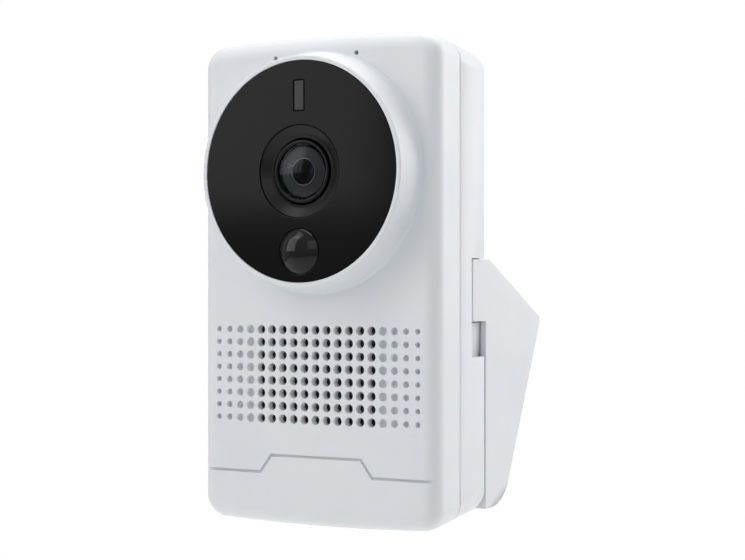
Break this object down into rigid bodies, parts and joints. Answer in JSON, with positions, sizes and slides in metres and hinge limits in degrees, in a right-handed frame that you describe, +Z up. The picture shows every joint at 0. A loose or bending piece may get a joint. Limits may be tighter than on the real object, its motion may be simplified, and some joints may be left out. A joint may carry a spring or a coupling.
{
  "type": "security camera",
  "caption": "Small upright indoor security camera with a round black window, a speaker grille and a hooked wedge bracket for wall or ceiling.",
  "frame": {"origin": "centre of the flat wall face of the bracket", "axes": "+Z up along the camera's height, +Y from the camera's front face to its back, +X to the right of someone facing the camera"},
  "size_m": [0.0642, 0.0651, 0.1146],
  "materials": {
    "casing": "white moulded polycarbonate blend, fine spark texture",
    "bracket": "white moulded polycarbonate blend, fine spark texture",
    "window": "polished black acrylic",
    "adhesive_foam": "closed-cell foam tape",
    "ir_filter_plastic": "smoked infra-red acrylic",
    "detector_plastic": "dark moulded polyethylene, glossy",
    "black_plastic": "black moulded plastic",
    "circuit_board": "green solder mask",
    "led_epoxy": "clear epoxy over the chip",
    "black_rubber": "moulded silicone rubber",
    "sensor_can": "nickel-plated can",
    "anodised_black": "black anodised aluminium",
    "lens_glass": "coated optical glass",
    "cut_filter_glass": "cyan-blue coated glass",
    "magnet_plastic": "bonded ferrite",
    "coil_copper": "enamelled copper wire",
    "sensor_glass": "sensor cover glass over the chip",
    "steel": "zinc-plated steel",
    "ribbon_film": "polyimide film",
    "grille_cloth": "black woven acoustic mesh",
    "speaker_steel": "black powder-coated steel",
    "magnet_steel": "nickel-plated magnet cup",
    "speaker_paper": "treated paper pulp",
    "lead_insulation": "soft insulation",
    "chip_package": "black epoxy package",
    "thermal_silicone": "grey-blue silicone gap pad",
    "heat_aluminium": "bare rolled aluminium",
    "jack_shell": "nickel-plated steel shield",
    "contact_gold": "gold-plated contacts",
    "terminal_plastic": "green moulded terminal block",
    "card_plastic": "black moulded card",
    "button_plastic": "grey moulded plastic",
    "label_film": "blank white polyester label"
  },
  "bodies": {
    "bracket": {"mount_bracket": "bracket"},
    "camera": {"front_cover": "casing", "rear_cover": "casing", "front_window": "window", "window_gasket": "adhesive_foam", "ir_window": "ir_filter_plastic", "detector_lens": "detector_plastic", "lens_surround": "black_plastic", "front_board": "circuit_board", "ir_leds": "led_epoxy", "ir_baffle": "black_rubber", "motion_sensor": "sensor_can", "lens_barrel": "anodised_black", "front_glass": "lens_glass", "lens_retainer": "anodised_black", "middle_glass": "lens_glass", "lens_spacer": "anodised_black", "rear_glass": "lens_glass", "lens_lock_ring": "anodised_black", "lens_holder": "black_plastic", "filter_housing": "black_plastic", "filter_coil": "coil_copper", "image_sensor": "sensor_glass", "sensor_board": "circuit_board", "sensor_screws": "steel", "sensor_ribbon": "ribbon_film", "microphone_boots": "black_rubber", "microphones": "sensor_can", "microphone_board": "circuit_board", "grille_cloth": "grille_cloth", "speaker_gasket": "adhesive_foam", "speaker_frame": "speaker_steel", "speaker_magnet": "magnet_steel", "speaker_leads": "lead_insulation", "main_board": "circuit_board", "board_screws": "steel", "housing_screws": "steel", "processor": "chip_package", "thermal_pad": "thermal_silicone", "heat_spreader": "heat_aluminium", "network_jack": "jack_shell", "jack_contacts": "contact_gold", "network_transformer": "chip_package", "io_terminal": "terminal_plastic", "card_socket": "jack_shell", "button_switch": "chip_package", "blank_label": "label_film"},
    "filter_slider": {"filter_carriage": "black_plastic", "cut_filter": "cut_filter_glass", "clear_filter": "lens_glass"},
    "filter_arm": {"filter_rotor": "magnet_plastic"},
    "button": {"control_button": "button_plastic"},
    "cone": {"speaker_cone": "speaker_paper", "speaker_surround": "black_rubber", "voice_coil": "coil_copper"},
    "card": {"memory_card": "card_plastic"}
  },
  "joints": [
    {"name": "camera_lift", "type": "slide", "parent": "bracket", "child": "camera", "axis": [0, 0, 1], "range_m": [0, 0.008]},
    {"name": "filter_slide", "type": "slide", "parent": "camera", "child": "filter_slider", "axis": [-1, 0, 0], "range_m": [0, 0.007]},
    {"name": "filter_arm_turn", "type": "hinge", "parent": "camera", "child": "filter_arm", "pos_m": [0, -0.04389, 0.0661], "axis": [0, 1, 0], "range_deg": [0, 90]},
    {"name": "button_press", "type": "slide", "parent": "camera", "child": "button", "axis": [0, -1, 0], "range_m": [0, 0.0006], "stiffness_N_per_m": 800},
    {"name": "cone_travel", "type": "slide", "parent": "camera", "child": "cone", "axis": [0, -1, 0], "range_m": [-0.0005, 0.0005], "stiffness_N_per_m": 500},
    {"name": "card_slide", "type": "slide", "parent": "camera", "child": "card", "axis": [-1, 0, 0], "range_m": [0, 0.008]}
  ],
  "couplings": [
    {"joint": "filter_arm_turn", "follows": "filter_slide", "rad_per_m": 224.4}
  ]
}
